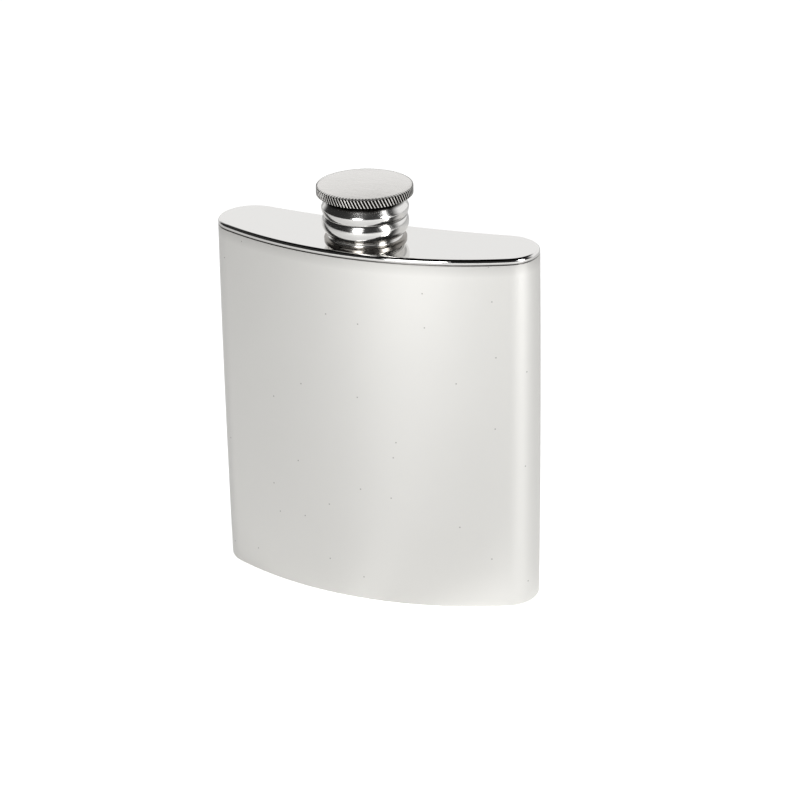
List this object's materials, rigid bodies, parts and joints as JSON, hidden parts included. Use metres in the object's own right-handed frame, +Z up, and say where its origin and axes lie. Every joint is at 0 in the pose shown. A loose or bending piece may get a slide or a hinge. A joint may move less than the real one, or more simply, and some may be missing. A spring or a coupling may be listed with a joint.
{
  "type": "hip flask",
  "caption": "Pewter hip flask of kidney section with a soldered neck and a screw cap under a knurled, domed disc.",
  "frame": {"origin": "centre of the bounding box's base, on the surface that the flask stands on", "axes": "+Z up through the neck, -Y out of the bowed front face, +X across the width"},
  "size_m": [0.092, 0.028, 0.1178],
  "materials": {
    "satin_pewter": "satin, buffed",
    "polished_pewter": "polished",
    "brushed_pewter": "finely brushed",
    "solder": "wiped, dull",
    "cork": "cut cork"
  },
  "bodies": {
    "flask": {"body_wall": "satin_pewter", "seam_solder": "solder", "top_plate": "polished_pewter", "base_plate": "satin_pewter", "top_solder": "solder", "base_solder": "solder", "neck_tube": "polished_pewter", "neck_solder": "solder"},
    "liner": {"cap_liner": "cork"},
    "cap": {"cap_shell": "polished_pewter", "cap_disc": "brushed_pewter", "cap_solder": "solder"}
  },
  "joints": [
    {"name": "cap_lift", "type": "slide", "parent": "flask", "child": "liner", "axis": [0, 0, 1], "range_m": [0, 0.021]},
    {"name": "cap_turn", "type": "hinge", "parent": "liner", "child": "cap", "pos_m": [-0.0009, -0.00115, 0.1125], "axis": [0, 0, 1], "range_deg": [0, 2520]}
  ],
  "couplings": [
    {"joint": "cap_lift", "follows": "cap_turn", "m_per_rad": 0.00047746}
  ]
}
